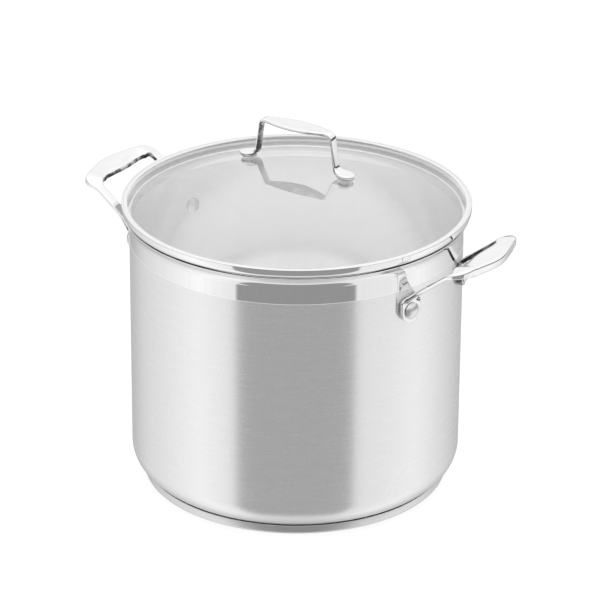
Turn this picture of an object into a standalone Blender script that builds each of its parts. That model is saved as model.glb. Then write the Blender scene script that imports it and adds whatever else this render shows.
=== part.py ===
"""A tall two-handled stainless steel water bath canner with a domed glass lid.

The pot stands on z = 0 with its axis on the Z axis and its two side handles on the X axis.
Lengths are in metres. MM turns a size in millimetres into one.
"""

from math import asin, atan2, cos, pi, radians, sin, sqrt

import bmesh
import bpy
from mathutils import Matrix, Vector

MM = 0.001

# Pot
INNER_RADIUS = 130 * MM
WALL = 1.0 * MM
POT_HEIGHT = 223.3 * MM
LIP_FLARE = 4.6 * MM
LIP_RISE = 8.5 * MM
CORNER_RADIUS = 21 * MM

# Base
CAP_SHEET = 0.8 * MM
CAP_INSET = 9.6 * MM
CAP_EDGE_RADIUS = 2.5 * MM
CAP_HEIGHT = 7.4 * MM
CORE_THICKNESS = 4 * MM
CORE_INSET = 9.4 * MM

# Side handles
FOOT_SPREAD = 40.64 * MM
FOOT_RADIUS = 9.6 * MM
FOOT_THICKNESS = 4 * MM
BEND_ABOVE_RIVET = 10.2 * MM
BEND_TRIM = 3.2 * MM
ARM_HALF_WIDTH = 4.7 * MM
ARM_THICKNESS = 3.6 * MM
ARM_ROOT_HALF_WIDTH = 7.3 * MM
GRIP_REACH = 41.4 * MM
GRIP_RISE = 38.8 * MM
GRIP_HALF_LENGTH = 40 * MM
GRIP_BOW = 4.5 * MM
GRIP_TRIM = 11 * MM
GRIP_END_HALF_WIDTH = 7.8 * MM
GRIP_KNUCKLE = 3 * MM
GRIP_MIDDLE_HALF_WIDTH = 10.8 * MM
GRIP_THICKNESS = 9.6 * MM

# Side handle rivets
RIVET_BELOW_RIM = 39.7 * MM
RIVET_HEAD_RADIUS = 6.8 * MM
RIVET_HEAD_HEIGHT = 3.2 * MM
RIVET_HEAD_RIM = 0.5 * MM
RIVET_INNER_HEAD_RADIUS = 6 * MM
RIVET_INNER_HEAD_HEIGHT = 1.6 * MM
RIVET_SHANK_RADIUS = 2.6 * MM

# Lid rim
RIM_OVERHANG = 6 * MM
RIM_HEIGHT = 8.3 * MM
RIM_SHEET = 0.8 * MM
RIM_EDGE_RADIUS = 2.4 * MM
RIM_LIP = 4.4 * MM
SKIRT_DEPTH = 8.3 * MM
SKIRT_CLEARANCE = 0.7 * MM
SKIRT_BEND = 1.0 * MM

# Lid glass
GLASS_THICKNESS = 4 * MM
GLASS_INSET = 3.6 * MM
DOME_RISE = 30.8 * MM
GLASS_BELOW_LIP = 0.8 * MM

# Lid handle
PAD_REACH = 43.3 * MM
PAD_HALF_LENGTH = 7.8 * MM
PAD_HALF_WIDTH = 7 * MM
PAD_THICKNESS = 3.2 * MM
LEG_HALF_WIDTH = 3.8 * MM
LEG_TOP_HALF_WIDTH = 4.75 * MM
LEG_THICKNESS = 2.2 * MM
LEG_TOP_REACH = 32 * MM
LID_GRIP_HEIGHT = 31.4 * MM
LID_GRIP_HALF_WIDTH = 9.6 * MM
LID_GRIP_THICKNESS = 3.2 * MM
LID_BEND_TRIM = 5 * MM

# Lid handle fixings
SEAL_THICKNESS = 1.4 * MM
GASKET_THICKNESS = 1.0 * MM
WASHER_THICKNESS = 0.8 * MM
WASHER_RADIUS = 5.5 * MM
SCREW_RADIUS = 2 * MM
SCREW_HEAD_RADIUS = 3.9 * MM
SCREW_HEAD_HEIGHT = 2.2 * MM
SCREW_REACH_IN_PAD = 2.2 * MM
SLEEVE_WALL = 0.9 * MM

# Shared
GAP = 0.3 * MM
HOLE_CLEARANCE = 0.3 * MM
ROUND_STEPS = 48
SMALL_STEPS = 16
SECTION_POINTS = 12

# Derived
OUTER_RADIUS = INNER_RADIUS + WALL
CAP_RADIUS = OUTER_RADIUS - CAP_INSET
CORE_RADIUS = CAP_RADIUS - CORE_INSET
RIVET_HEIGHT = POT_HEIGHT - RIVET_BELOW_RIM
BOTTOM = CAP_SHEET + GAP + CORE_THICKNESS + GAP
FLARE_ANGLE = 2 * atan2(LIP_FLARE, LIP_RISE)
FLARE_RADIUS = LIP_RISE / sin(FLARE_ANGLE)
LIP_EDGE = POT_HEIGHT - WALL * sin(FLARE_ANGLE)
RIM_BOTTOM = POT_HEIGHT + GAP
RIM_TOP = RIM_BOTTOM + RIM_HEIGHT
RIM_RADIUS = OUTER_RADIUS + RIM_OVERHANG
GLASS_EDGE_RADIUS = RIM_RADIUS - GLASS_INSET
SKIRT_RADIUS = INNER_RADIUS - SKIRT_CLEARANCE
GLASS_EDGE = RIM_TOP - RIM_SHEET - GLASS_BELOW_LIP
DOME_RADIUS = (GLASS_EDGE_RADIUS**2 + DOME_RISE**2) / (2 * DOME_RISE)
DOME_CENTRE = GLASS_EDGE + DOME_RISE - DOME_RADIUS


def start_scene():
    for old in list(bpy.data.objects):
        bpy.data.objects.remove(old, do_unlink=True)
    parts = bpy.data.collections.new("water_bath_canner")
    cutters = bpy.data.collections.new("cutters")
    for collection in (parts, cutters):
        bpy.context.scene.collection.children.link(collection)
    return parts, cutters


PARTS, CUTTERS = start_scene()


def material(name, colour, roughness, metallic, alpha=1.0):
    made = bpy.data.materials.new(name)
    made.use_nodes = True
    shader = made.node_tree.nodes["Principled BSDF"]
    shader.inputs["Base Color"].default_value = (*colour, 1)
    shader.inputs["Roughness"].default_value = roughness
    shader.inputs["Metallic"].default_value = metallic
    shader.inputs["Alpha"].default_value = alpha
    return made


BRUSHED = material("brushed_steel", (0.70, 0.70, 0.71), 0.30, 1)
POLISHED = material("polished_steel", (0.80, 0.80, 0.80), 0.08, 1)
ALUMINIUM = material("aluminium", (0.75, 0.76, 0.77), 0.4, 1)
GLASS = material("tempered_glass", (0.93, 0.96, 0.95), 0.03, 0, 0.35)
SILICONE = material("silicone", (0.80, 0.80, 0.79), 0.6, 0)


def link(name, mesh, finish, collection=None):
    """A named object with one finish, smooth but for its sharp edges."""
    made = bpy.data.objects.new(name, mesh)
    (collection or PARTS).objects.link(made)
    if finish:
        mesh.materials.append(finish)
    mesh.shade_smooth()
    return made


def arc(centre, radius, start, end, count):
    """Points of an arc in the (radius, height) plane, angles in degrees from the outward axis."""
    angles = [radians(start + (end - start) * i / count) for i in range(count + 1)]
    return [(centre[0] + radius * cos(a), centre[1] + radius * sin(a)) for a in angles]


def turned(name, outline, finish, ring=False, steps=ROUND_STEPS, collection=None):
    """Turns an outline of (radius, height) points, which runs down its outer side, about Z."""
    mesh = bpy.data.meshes.new(name)
    count = len(outline)
    edges = [(i, i + 1) for i in range(count - 1)]
    if ring:
        edges.append((count - 1, 0))
    mesh.from_pydata([(r, 0, z) for r, z in outline], edges, [])
    made = link(name, mesh, finish, collection)
    screw = made.modifiers.new("turn", "SCREW")
    screw.axis = "Z"
    screw.steps = screw.render_steps = steps
    screw.use_merge_vertices = True
    screw.merge_threshold = 0.00001
    screw.use_smooth_shade = True
    return made


def sheet(made, thickness):
    """Gives an outer surface its wall, on the inside."""
    solid = made.modifiers.new("wall", "SOLIDIFY")
    solid.thickness = thickness
    solid.offset = -1
    solid.use_even_offset = True
    return made


def on_axis(made, origin, direction):
    """Stands an object made about Z on an axis through origin along direction."""
    turn = Vector(direction).to_track_quat("Z", "Y").to_matrix().to_4x4()
    made.matrix_world = Matrix.Translation(origin) @ turn
    return made


def drill(part, name, radius, low, high, origin, direction):
    """Cuts a round hole along an axis, from low to high along it."""
    outline = [(0, high), (radius, high), (radius, low), (0, low)]
    cutter = turned(name, outline, None, steps=SMALL_STEPS, collection=CUTTERS)
    on_axis(cutter, origin, direction)
    cutter.hide_render = True
    cutter.display_type = "WIRE"
    cut = part.modifiers.new(name, "BOOLEAN")
    cut.object = cutter
    cut.operation = "DIFFERENCE"


def section(centre, across, through, half_width, half_thickness, power):
    """A rounded section: points of a superellipse about centre in the across-through plane."""
    points = []
    for i in range(SECTION_POINTS):
        angle = 2 * pi * (i + 0.5) / SECTION_POINTS
        u, v = cos(angle), sin(angle)
        u = abs(u) ** (2 / power) * (1 if u > 0 else -1)
        v = abs(v) ** (2 / power) * (1 if v > 0 else -1)
        points.append(centre + across * (half_width * u) + through * (half_thickness * v))
    return points


def half_loft(name, rings, finish):
    """Joins rings into half a handle, closed at its foot and open at the middle, and mirrors it."""
    work = bmesh.new()
    made_rings = [[work.verts.new(point) for point in ring] for ring in rings]
    work.faces.new(made_rings[0])
    for low, high in zip(made_rings, made_rings[1:]):
        for i in range(len(low)):
            j = (i + 1) % len(low)
            work.faces.new((low[i], low[j], high[j], high[i]))
    bmesh.ops.recalc_face_normals(work, faces=work.faces)
    mesh = bpy.data.meshes.new(name)
    work.to_mesh(mesh)
    work.free()
    return link(name, mesh, finish)


def mirrored(made, axis):
    """The whole handle from a half that is open at the middle plane."""
    mirror = made.modifiers.new("other_half", "MIRROR")
    mirror.use_axis = [axis == "X", axis == "Y", False]
    mirror.use_clip = True
    mirror.merge_threshold = 0.00002
    return made


def rounded_corner(before, corner, after, trim, count):
    """Points and directions of a smooth turn at corner, trim long on each side."""
    start = corner + (before - corner).normalized() * trim
    end = corner + (after - corner).normalized() * trim
    turn = []
    for i in range(count + 1):
        t = i / count
        point = start * (1 - t) ** 2 + corner * (2 * t * (1 - t)) + end * t**2
        heading = (corner - start) * (1 - t) + (end - corner) * t
        turn.append((point, heading.normalized()))
    return turn


def mix(a, b, t):
    return a + (b - a) * t


# Pot and base


def pot_shell():
    outline = [
        (OUTER_RADIUS + FLARE_RADIUS * (1 - cos(a)), LIP_EDGE - LIP_RISE + FLARE_RADIUS * sin(a))
        for a in (FLARE_ANGLE * i / 4 for i in range(4, -1, -1))
    ]
    corner = (OUTER_RADIUS - CORNER_RADIUS, BOTTOM + CORNER_RADIUS)
    outline += arc(corner, CORNER_RADIUS, 0, -90, 6)
    outline.append((0, BOTTOM))
    return sheet(turned("pot_shell", outline, BRUSHED), WALL)


def base_core():
    low = CAP_SHEET + GAP
    high = low + CORE_THICKNESS
    chamfer = CORE_THICKNESS / 5
    outline = [(0, high), (CORE_RADIUS - chamfer, high), (CORE_RADIUS, high - chamfer)]
    outline += [(CORE_RADIUS, low + chamfer), (CORE_RADIUS - chamfer, low), (0, low)]
    return turned("base_core", outline, ALUMINIUM)


def base_cap():
    edge = (CAP_RADIUS - CAP_EDGE_RADIUS, CAP_EDGE_RADIUS)
    outline = [(CAP_RADIUS, CAP_HEIGHT)] + arc(edge, CAP_EDGE_RADIUS, 0, -90, 3) + [(0, 0)]
    return sheet(turned("base_cap", outline, POLISHED), CAP_SHEET)


# Side handles


def outward(angle):
    return Vector((cos(angle), sin(angle), 0))


FOOT_MIDDLE = OUTER_RADIUS + GAP + FOOT_THICKNESS / 2
FOOT_ANGLE = asin(FOOT_SPREAD / FOOT_MIDDLE)
GRIP_HEIGHT = RIVET_HEIGHT + GRIP_RISE
GRIP_CORNER = Vector((OUTER_RADIUS + GRIP_REACH - GRIP_BOW, GRIP_HALF_LENGTH, GRIP_HEIGHT))


def side_handle_rings():
    """Sections from the round end of one foot, up the wall, out along the arm and to mid-grip."""
    face = outward(FOOT_ANGLE)
    along = Vector((-face.y, face.x, 0))
    rings = []

    def add(point, heading, plan, half_width, thickness, power):
        across = Vector((-plan.y, plan.x, 0)).normalized()
        through = across.cross(heading).normalized()
        rings.append(section(point, across, through, half_width, thickness / 2, power))

    rivet = face * FOOT_MIDDLE + Vector((0, 0, RIVET_HEIGHT))
    up = Vector((0, 0, 1))
    for degrees in (-82, -62, -35, 0):
        turn = radians(degrees)
        point = rivet + up * (FOOT_RADIUS * sin(turn))
        add(point, up, face, FOOT_RADIUS * cos(turn), FOOT_THICKNESS, 6)
    bend = rivet + up * BEND_ABOVE_RIVET
    plan = GRIP_CORNER - bend
    plan.z = 0
    plan.normalize()
    steps = 4
    for i, (point, heading) in enumerate(rounded_corner(rivet, bend, GRIP_CORNER, BEND_TRIM, steps)):
        t = i / steps
        half_width = mix(FOOT_RADIUS, ARM_ROOT_HALF_WIDTH, t)
        add(point, heading, mix(face, plan, t), half_width, mix(FOOT_THICKNESS, ARM_THICKNESS, t), 5)
    arm_start = bend + (GRIP_CORNER - bend).normalized() * BEND_TRIM
    middle = Vector((GRIP_CORNER.x + GRIP_BOW, 0, GRIP_CORNER.z))
    arm_end = GRIP_CORNER + (bend - GRIP_CORNER).normalized() * GRIP_TRIM
    heading = (GRIP_CORNER - bend).normalized()
    for t in (0.25, 0.5, 0.75):
        half_width = mix(ARM_ROOT_HALF_WIDTH, ARM_HALF_WIDTH, min(1, 3 * t))
        add(mix(arm_start, arm_end, t), heading, plan, half_width, ARM_THICKNESS, 4)
    steps = 5
    for i, (point, heading) in enumerate(rounded_corner(bend, GRIP_CORNER, middle, GRIP_TRIM, steps)):
        t = i / steps
        level = Vector((heading.x, heading.y, 0)).normalized()
        knuckle = GRIP_KNUCKLE / 2 * sin(t * pi)
        half_width = mix(ARM_HALF_WIDTH, GRIP_END_HALF_WIDTH, sin(t * pi / 2)) + knuckle
        point = point + Vector((-level.y, level.x, 0)) * knuckle
        add(point, heading, level, half_width, mix(ARM_THICKNESS, GRIP_THICKNESS, t), 3.6)
    grip_start = GRIP_CORNER + (middle - GRIP_CORNER).normalized() * GRIP_TRIM
    back = Vector((0, -1, 0))
    for t in (0.33, 0.66, 1.0):
        half_width = mix(GRIP_END_HALF_WIDTH, GRIP_MIDDLE_HALF_WIDTH, sin(t * pi / 2))
        point = mix(grip_start, middle, t)
        point.x = middle.x - GRIP_BOW * (point.y / GRIP_HALF_LENGTH) ** 2
        add(point, back, back, half_width, GRIP_THICKNESS, 3.6)
    return rings


def side_handle(name, side):
    made = mirrored(half_loft(name, side_handle_rings(), POLISHED), "Y")
    made.rotation_euler.z = 0 if side > 0 else pi
    return made


def rivet_axes():
    """Name and outward direction of each side handle rivet."""
    for side, turn in (("right", 0), ("left", pi)):
        for place, angle in (("front", -FOOT_ANGLE), ("rear", FOOT_ANGLE)):
            yield side, f"{side}_handle_{place}_rivet", outward(turn + (angle if turn == 0 else -angle))


def rivet(name, direction):
    """One rivet: its heights are distances from the pot's axis."""
    seat = OUTER_RADIUS + GAP + FOOT_THICKNESS + GAP
    inside = sqrt((INNER_RADIUS * cos(pi / ROUND_STEPS) - GAP) ** 2 - RIVET_INNER_HEAD_RADIUS**2)
    dome = RIVET_HEAD_HEIGHT - RIVET_HEAD_RIM
    sphere = (RIVET_HEAD_RADIUS**2 + dome**2) / (2 * dome)
    centre = seat + RIVET_HEAD_HEIGHT - sphere
    spread = asin(RIVET_HEAD_RADIUS / sphere)
    outline = [(sphere * sin(a), centre + sphere * cos(a)) for a in (spread * i / 4 for i in range(5))]
    outline += [(RIVET_HEAD_RADIUS, seat), (RIVET_SHANK_RADIUS, seat), (RIVET_SHANK_RADIUS, inside)]
    outline.append((RIVET_INNER_HEAD_RADIUS, inside))
    inner_rim = RIVET_INNER_HEAD_HEIGHT / 3
    outline.append((RIVET_INNER_HEAD_RADIUS, inside - inner_rim))
    outline.append((RIVET_INNER_HEAD_RADIUS * 0.6, inside - RIVET_INNER_HEAD_HEIGHT * 0.85))
    outline.append((0, inside - RIVET_INNER_HEAD_HEIGHT))
    made = turned(name, outline, POLISHED, steps=SMALL_STEPS)
    return on_axis(made, (0, 0, RIVET_HEIGHT), direction)


def rivet_holes(shell, handles):
    radius = RIVET_SHANK_RADIUS + HOLE_CLEARANCE
    low, high = INNER_RADIUS - CORNER_RADIUS, OUTER_RADIUS + 3 * FOOT_THICKNESS
    for side, name, direction in rivet_axes():
        for part in (shell, handles[side]):
            cutter = f"hole_{part.name}_{name}"
            drill(part, cutter, radius, low, high, (0, 0, RIVET_HEIGHT), direction)


# Lid


def lid_rim_band():
    """A steel channel round the glass, with a skirt that drops inside the pot."""
    outer = RIM_RADIUS - RIM_EDGE_RADIUS
    inner_edge = RIM_EDGE_RADIUS - RIM_SHEET
    top, low = RIM_TOP - RIM_EDGE_RADIUS, RIM_BOTTOM + RIM_EDGE_RADIUS
    lip = RIM_RADIUS - RIM_LIP
    skirt_end = RIM_BOTTOM - SKIRT_DEPTH
    outline = [(lip, RIM_TOP)]
    outline += arc((outer, top), RIM_EDGE_RADIUS, 90, 0, 3)
    outline += arc((outer, low), RIM_EDGE_RADIUS, 0, -90, 3)
    outline += [(SKIRT_RADIUS + SKIRT_BEND, RIM_BOTTOM), (SKIRT_RADIUS, RIM_BOTTOM - SKIRT_BEND)]
    outline += [(SKIRT_RADIUS, skirt_end), (SKIRT_RADIUS - RIM_SHEET, skirt_end)]
    outline += [(SKIRT_RADIUS - RIM_SHEET, RIM_BOTTOM), (SKIRT_RADIUS, RIM_BOTTOM + RIM_SHEET)]
    outline += arc((outer, low), inner_edge, -90, 0, 2)
    outline += arc((outer, top), inner_edge, 0, 90, 2)
    outline.append((lip, RIM_TOP - RIM_SHEET))
    return turned("lid_rim_band", outline, POLISHED, ring=True)


def dome_height(radius):
    """Height of the glass's upper surface at a distance from the lid's axis."""
    return DOME_CENTRE + sqrt(DOME_RADIUS**2 - radius**2)


def lid_glass():
    spread = asin(GLASS_EDGE_RADIUS / DOME_RADIUS)
    angles = [spread * i / 6 for i in range(7)]
    outline = [(DOME_RADIUS * sin(a), DOME_CENTRE + DOME_RADIUS * cos(a)) for a in angles]
    return sheet(turned("lid_glass", outline, GLASS), GLASS_THICKNESS)


PAD_TILT = asin(PAD_REACH / DOME_RADIUS)
PAD_BOTTOM = GAP + SEAL_THICKNESS + GAP


def pad_frame(side):
    """The fixing's place on the glass, and its axis out of the glass."""
    origin = Vector((side * PAD_REACH, 0, dome_height(PAD_REACH)))
    return origin, Vector((side * sin(PAD_TILT), 0, cos(PAD_TILT)))


def lid_handle_rings():
    """Sections from the round end of one pad, up the leg and to mid-grip."""
    origin, normal = pad_frame(1)
    inward = Vector((-cos(PAD_TILT), 0, sin(PAD_TILT)))
    across = Vector((0, 1, 0))
    rings = []

    def add(point, heading, half_width, thickness, power):
        through = across.cross(heading).normalized()
        rings.append(section(point, across, through, half_width, thickness / 2, power))

    pad = origin + normal * (PAD_BOTTOM + PAD_THICKNESS / 2)
    for degrees in (-80, -55, -25, 0):
        turn = radians(degrees)
        point = pad + inward * (PAD_HALF_LENGTH * sin(turn))
        add(point, inward, PAD_HALF_WIDTH * cos(turn), PAD_THICKNESS, 5)
    knee = pad + inward * PAD_HALF_LENGTH
    top = Vector((LEG_TOP_REACH, 0, dome_height(0) + LID_GRIP_HEIGHT))
    middle = Vector((0, 0, top.z))
    steps = 4
    for i, (point, heading) in enumerate(rounded_corner(pad, knee, top, LID_BEND_TRIM, steps)):
        t = i / steps
        half_width = mix(PAD_HALF_WIDTH, LEG_HALF_WIDTH, sin(t * pi / 2))
        add(point, heading, half_width, mix(PAD_THICKNESS, LEG_THICKNESS, t), 4)
    for i, (point, heading) in enumerate(rounded_corner(knee, top, middle, LID_BEND_TRIM, steps)):
        t = i / steps
        half_width = mix(LEG_HALF_WIDTH, LEG_TOP_HALF_WIDTH, t)
        add(point, heading, half_width, mix(LEG_THICKNESS, LID_GRIP_THICKNESS, t), 3)
    grip_start = top + (middle - top).normalized() * LID_BEND_TRIM
    for t in (0.25, 0.5, 0.75, 1.0):
        half_width = mix(LEG_TOP_HALF_WIDTH, LID_GRIP_HALF_WIDTH, sin(t * pi / 2))
        add(mix(grip_start, middle, t), Vector((-1, 0, 0)), half_width, LID_GRIP_THICKNESS, 3)
    return rings


def washer(name, inner, outer, low, high, side, finish):
    outline = [(inner, high), (outer, high), (outer, low), (inner, low)]
    return on_axis(turned(name, outline, finish, ring=True, steps=SMALL_STEPS), *pad_frame(side))


def lid_fixing(place, side, glass, handle):
    """The seal, gasket, washer and screw that hold one handle pad to the glass."""
    origin, normal = pad_frame(side)
    bore = SCREW_RADIUS + HOLE_CLEARANCE
    sleeve = bore + SLEEVE_WALL
    glass_hole = sleeve + HOLE_CLEARANCE
    below = -GLASS_THICKNESS - GAP
    seal_top = GAP + SEAL_THICKNESS
    outline = [(bore, seal_top), (WASHER_RADIUS, seal_top), (WASHER_RADIUS, GAP), (sleeve, GAP)]
    outline += [(sleeve, -GLASS_THICKNESS), (bore, -GLASS_THICKNESS)]
    seal = turned(f"{place}_pad_seal", outline, SILICONE, ring=True, steps=SMALL_STEPS)
    on_axis(seal, origin, normal)
    gasket_low = below - GASKET_THICKNESS
    washer(f"{place}_lid_gasket", bore, WASHER_RADIUS, gasket_low, below, side, SILICONE)
    washer_high = gasket_low - GAP
    washer_low = washer_high - WASHER_THICKNESS
    washer(f"{place}_lid_washer", bore, WASHER_RADIUS, washer_low, washer_high, side, POLISHED)
    head = washer_low - GAP
    foot = head - SCREW_HEAD_HEIGHT
    tip = PAD_BOTTOM + SCREW_REACH_IN_PAD
    outline = [(0, tip), (SCREW_RADIUS, tip), (SCREW_RADIUS, head), (SCREW_HEAD_RADIUS, head)]
    outline += [(SCREW_HEAD_RADIUS, head - 0.4 * SCREW_HEAD_HEIGHT)]
    outline += [(SCREW_HEAD_RADIUS * 0.7, head - 0.85 * SCREW_HEAD_HEIGHT), (0, foot)]
    screw = turned(f"{place}_lid_screw", outline, POLISHED, steps=SMALL_STEPS)
    on_axis(screw, origin, normal)
    reach = GLASS_THICKNESS * 3
    drill(glass, f"hole_glass_{place}", glass_hole, -reach, reach, origin, normal)
    drill(handle, f"hole_pad_{place}", bore, -reach, tip + GAP, origin, normal)


def main():
    shell = pot_shell()
    base_core()
    base_cap()
    handles = {
        "right": side_handle("right_side_handle", 1),
        "left": side_handle("left_side_handle", -1),
    }
    for _, name, direction in rivet_axes():
        rivet(name, direction)
    rivet_holes(shell, handles)
    glass = lid_glass()
    lid_rim_band()
    grip = mirrored(half_loft("lid_handle", lid_handle_rings(), POLISHED), "X")
    for place, side in (("right", 1), ("left", -1)):
        lid_fixing(place, side, glass, grip)


main()
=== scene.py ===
# %% [markdown]
# # A water bath canner with a glass lid
#
# A water bath canner is a tall stainless steel pot that holds jars under boiling water. This one has
# a wall brushed round and round, a mirror band under its lip, a thick capped base, a cast loop
# handle on each side and a domed glass lid in a steel rim. The lesson turns, lofts and repeats those
# pieces, and gives each metal the finish that its maker gave it.

# %% Load the packed model
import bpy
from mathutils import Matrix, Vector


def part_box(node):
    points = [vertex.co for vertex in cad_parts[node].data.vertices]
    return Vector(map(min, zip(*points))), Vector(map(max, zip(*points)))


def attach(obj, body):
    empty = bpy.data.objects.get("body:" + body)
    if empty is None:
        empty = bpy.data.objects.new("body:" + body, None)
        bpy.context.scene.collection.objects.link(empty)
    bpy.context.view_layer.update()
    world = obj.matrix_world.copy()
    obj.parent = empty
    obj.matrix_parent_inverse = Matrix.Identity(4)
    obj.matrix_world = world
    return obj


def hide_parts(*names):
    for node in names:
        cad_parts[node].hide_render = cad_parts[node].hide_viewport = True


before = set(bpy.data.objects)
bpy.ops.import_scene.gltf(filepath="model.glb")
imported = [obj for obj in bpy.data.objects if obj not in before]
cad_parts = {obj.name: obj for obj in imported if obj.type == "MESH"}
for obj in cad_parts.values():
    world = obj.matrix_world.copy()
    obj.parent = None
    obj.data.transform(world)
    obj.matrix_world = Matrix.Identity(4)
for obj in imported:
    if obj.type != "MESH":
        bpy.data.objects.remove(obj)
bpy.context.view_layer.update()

from math import asin, atan2, cos, pi, radians, sin, sqrt

import bmesh
import bpy
from mathutils import Matrix, Vector

MM = 0.001

# %% [markdown]
# ## Nodes written as arithmetic
#
# Both a finish and a repeated shape are node trees here. Adding nodes one by one hides the idea
# behind the wiring, so one class adds a node in a call, and a second one wraps a socket so that
# plain Python arithmetic adds the Math nodes.


# %% A tree and its signals
class Signal:
    """One output of a node. Arithmetic on it adds Math nodes to its tree."""

    def __init__(self, tree, socket):
        self.tree, self.socket = tree, socket

    def maths(self, operation, *others):
        """A Math node that takes this signal first."""
        return self.tree.maths(operation, self, *others)

    def __add__(self, other):
        return self.maths("ADD", other)

    def __sub__(self, other):
        return self.maths("SUBTRACT", other)

    def __rsub__(self, other):
        return self.tree.maths("SUBTRACT", other, self)

    def __mul__(self, other):
        return self.maths("MULTIPLY", other)

    def __truediv__(self, other):
        return self.maths("DIVIDE", other)

    def __pow__(self, other):
        return self.maths("POWER", other)

    __radd__ = __add__
    __rmul__ = __mul__

    def rise(self, low, high):
        """0 below low and 1 above high, with a smooth step between."""
        settings = {"interpolation_type": "SMOOTHSTEP"}
        return self.tree.node("ShaderNodeMapRange", settings, {0: self, 1: low, 2: high})


class Tree:
    """A node tree written as calls."""

    def __init__(self, tree):
        self.tree = tree

    def node(self, kind, settings=None, inputs=None, output=0):
        """Adds one node: its settings first, then the values or signals of its inputs."""
        made = self.tree.nodes.new(kind)
        for key, value in (settings or {}).items():
            if key == "stops":
                self.stops(made.color_ramp, value)
            else:
                setattr(made, key, value)
        for key, value in (inputs or {}).items():
            self.plug(made.inputs[key], value)
        return Signal(self, made.outputs[output])

    def maths(self, operation, *values):
        return self.node("ShaderNodeMath", {"operation": operation}, dict(enumerate(values)))

    def plug(self, socket, value):
        if isinstance(value, Signal):
            self.tree.links.new(value.socket, socket)
        else:
            socket.default_value = value

    def stops(self, ramp, stops):
        for place, _ in stops[len(ramp.elements):]:
            ramp.elements.new(place)
        for element, (place, grey) in zip(ramp.elements, stops):
            element.position = place
            element.color = (grey, grey, grey, 1)


print("a signal knows:", ", ".join(name for name in vars(Signal) if not name.startswith("__")))

# %% [markdown]
# ## Camera
#
# The camera stands well back with a long lens, a little to the left of the pot's front and about
# 25 degrees above it, so that the lid reads as a wide ellipse and the wall stays straight.

# %% Stand the camera
CAMERA_AZIMUTH = radians(31.7)
CAMERA_ELEVATION = radians(24.64)
CAMERA_ROLL = radians(0.40)
CAMERA_DISTANCE = 2.72
CAMERA_LENS = 206.25
AIM_HEIGHT = 144.7 * MM
AIM_RIGHT = 3.1 * MM

TO_CAMERA = Vector((sin(CAMERA_AZIMUTH), -cos(CAMERA_AZIMUTH), 0))
CAMERA_RIGHT = Vector((cos(CAMERA_AZIMUTH), sin(CAMERA_AZIMUTH), 0))


def stand_camera():
    data = bpy.data.cameras.new("camera")
    data.lens = CAMERA_LENS
    camera = bpy.data.objects.new("camera", data)
    bpy.context.scene.collection.objects.link(camera)
    back = TO_CAMERA * cos(CAMERA_ELEVATION) + Vector((0, 0, sin(CAMERA_ELEVATION)))
    up = back.cross(CAMERA_RIGHT)
    across = CAMERA_RIGHT * cos(CAMERA_ROLL) + up * sin(CAMERA_ROLL)
    upright = up * cos(CAMERA_ROLL) - CAMERA_RIGHT * sin(CAMERA_ROLL)
    place = CAMERA_RIGHT * AIM_RIGHT + Vector((0, 0, AIM_HEIGHT)) + back * CAMERA_DISTANCE
    turn = Matrix((across, upright, back)).transposed().to_4x4()
    camera.matrix_world = Matrix.Translation(place) @ turn
    bpy.context.scene.camera = camera
    return camera


camera = stand_camera()
print("camera at", [round(value, 3) for value in camera.matrix_world.translation])

# %% [markdown]
# ## Studio
#
# Polished steel has almost no colour of its own: it shows the room. The room here is a white tent
# that falls off towards its far side, with one wide grey card low in front of the pot. The wall
# returns the card as a soft grey stripe, which is what tells the eye that it is round and metal. The
# tent is drawn in the world, so its tones are named by the angle round the pot.

# %% Hang the tent
SKY, LOW_SKY = 1.16, 1.03
CARD_HALF_ANGLE = 41.0
CARD_TOP, CARD_LOW = -4.0, -60.0
HORIZON_GREY = 0.10
HORIZON_HEIGHT = 9.0
HORIZON_FADE = (115, 150)
CARD_GREY = 0.34
CARD_CORNER = 8
TABLE_GREY = 0.62
SEAM_DEPTH = 0.07
TENT = [
    (-180, 0.42),
    (-150, 0.54),
    (-128, 0.80),
    (-108, 0.90),
    (-70, 1.13),
    (-45, 0.96),
    (45, 0.92),
    (66, 0.96),
    (93, 1.08),
    (112, 0.92),
    (133, 0.74),
    (152, 0.56),
    (180, 0.42),
]


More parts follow.
